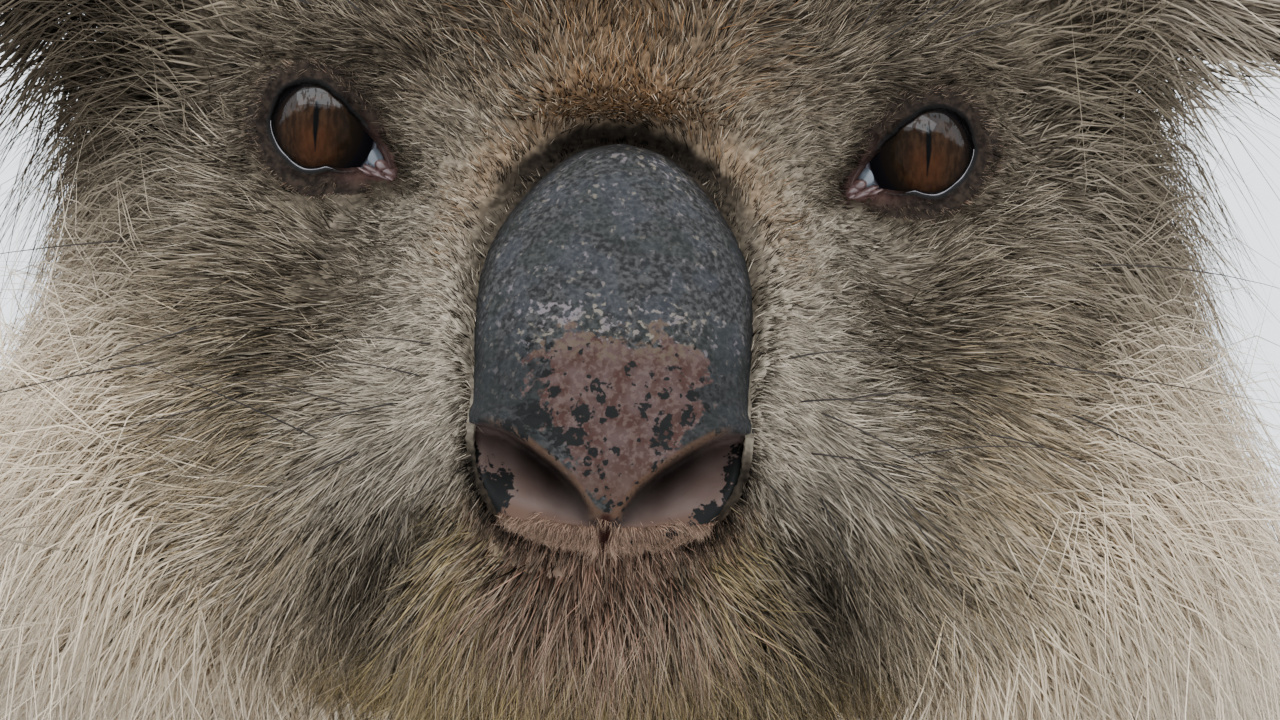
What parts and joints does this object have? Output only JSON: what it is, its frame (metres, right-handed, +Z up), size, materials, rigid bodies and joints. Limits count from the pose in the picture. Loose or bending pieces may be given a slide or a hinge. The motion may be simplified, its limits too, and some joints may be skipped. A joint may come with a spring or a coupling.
{
  "type": "koala model",
  "caption": "Life-size still model of an adult koala sitting on its rump, forepaws planted between its hind feet, face to the front.",
  "frame": {"origin": "on the floor, under the middle of the animal's bounding box", "axes": "+Z up, the animal faces -Y, its own left side is at +X"},
  "size_m": [0.3189, 0.3435, 0.4471],
  "materials": {
    "fur": "dense grey-brown fur, salt and pepper, hair tips pale over dark roots",
    "pale_fur": "longer cream to white fur of chin, chest, cheeks and ear fringes",
    "nose_skin": "bare dark slate skin with fine grain, part pink, half matt",
    "pad_skin": "bare dark granular skin of palms, soles and eyelids, matt",
    "eye": "dark brown iris under a clear wet cornea",
    "claw": "dark horn, lengthwise streaks, half gloss"
  },
  "bodies": {
    "root": {"head": "fur", "lower_jaw": "pale_fur", "nose": "nose_skin", "neck": "fur", "trunk": "fur", "eye_left": "eye", "ear_left": "pale_fur", "upper_arm_left": "fur", "forearm_left": "fur", "hand_left": "fur", "thigh_left": "fur", "shank_left": "fur", "foot_left": "fur", "claw_hand_left_1": "claw", "claw_hand_left_2": "claw", "claw_hand_left_3": "claw", "claw_hand_left_4": "claw", "claw_hand_left_5": "claw", "claw_foot_left_2": "claw", "claw_foot_left_3": "claw", "claw_foot_left_4": "claw", "claw_foot_left_5": "claw", "eye_right": "eye", "ear_right": "pale_fur", "upper_arm_right": "fur", "forearm_right": "fur", "hand_right": "fur", "thigh_right": "fur", "shank_right": "fur", "foot_right": "fur", "claw_hand_right_1": "claw", "claw_hand_right_2": "claw", "claw_hand_right_3": "claw", "claw_hand_right_4": "claw", "claw_hand_right_5": "claw", "claw_foot_right_2": "claw", "claw_foot_right_3": "claw", "claw_foot_right_4": "claw", "claw_foot_right_5": "claw"}
  },
  "joints": []
}
